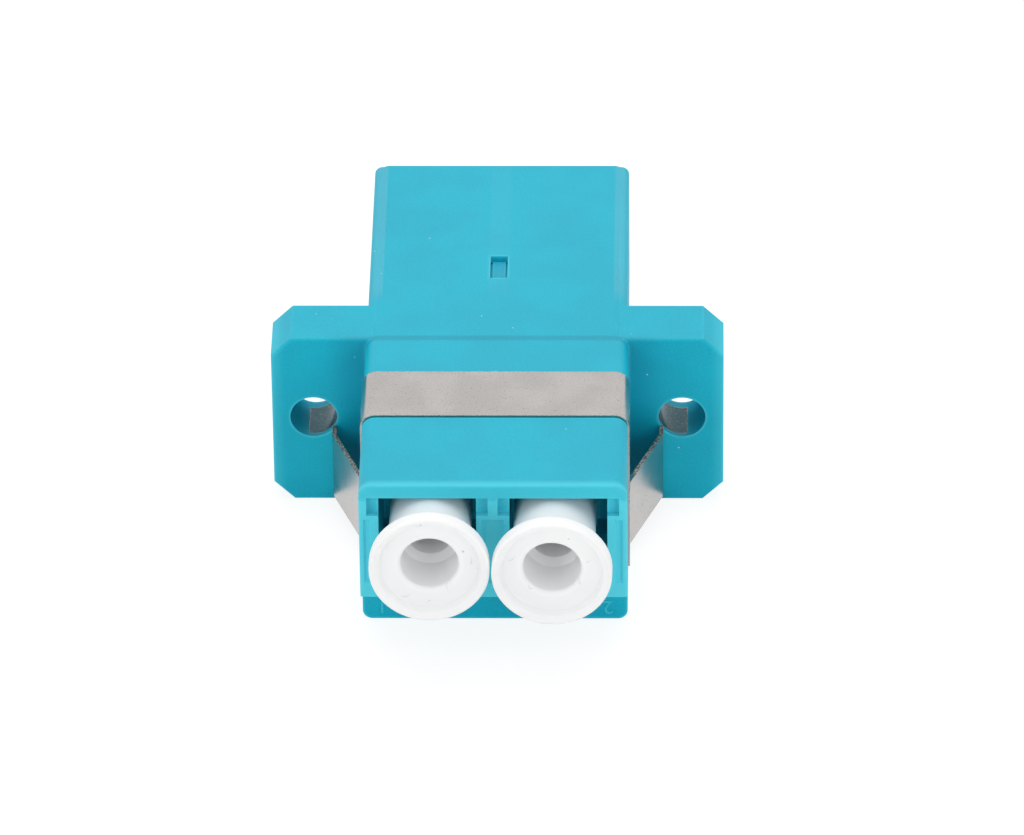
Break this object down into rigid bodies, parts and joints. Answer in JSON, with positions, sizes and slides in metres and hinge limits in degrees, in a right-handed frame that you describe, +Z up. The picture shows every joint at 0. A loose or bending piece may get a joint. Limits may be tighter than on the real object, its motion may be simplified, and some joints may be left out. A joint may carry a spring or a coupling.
{
  "type": "duplex fibre optic adapter",
  "caption": "Flanged duplex fibre optic coupler with ceramic alignment sleeves, sprung panel clip, lined screw holes and pull-out dust caps.",
  "frame": {"origin": "midpoint between the two flange holes, on the flange's front face that meets the panel", "axes": "+X along the flange, -Y out of the front ports that hold the dust caps, +Z up from the latch side that the adapter rests on"},
  "size_m": [0.022, 0.0317, 0.0097],
  "materials": {
    "housing_plastic": "fine moulded satin, aqua",
    "insert_plastic": "fine moulded satin, aqua",
    "spring_steel": "rolled bright strip",
    "liner_steel": "rolled strip",
    "sleeve_ceramic": "ground zirconia",
    "cap_plastic": "soft white moulding"
  },
  "bodies": {
    "adapter": {"housing": "housing_plastic", "rear_insert": "insert_plastic", "split_sleeve_left": "sleeve_ceramic", "split_sleeve_right": "sleeve_ceramic", "panel_clip": "spring_steel", "hole_liner_left": "liner_steel", "hole_liner_right": "liner_steel"},
    "left_cap": {"dust_cap_left": "cap_plastic"},
    "right_cap": {"dust_cap_right": "cap_plastic"}
  },
  "joints": [
    {"name": "left_cap_pull", "type": "slide", "parent": "adapter", "child": "left_cap", "axis": [0, -1, 0], "range_m": [-0.0022, 0.012]},
    {"name": "right_cap_pull", "type": "slide", "parent": "adapter", "child": "right_cap", "axis": [0, -1, 0], "range_m": [-0.0023, 0.012]}
  ]
}
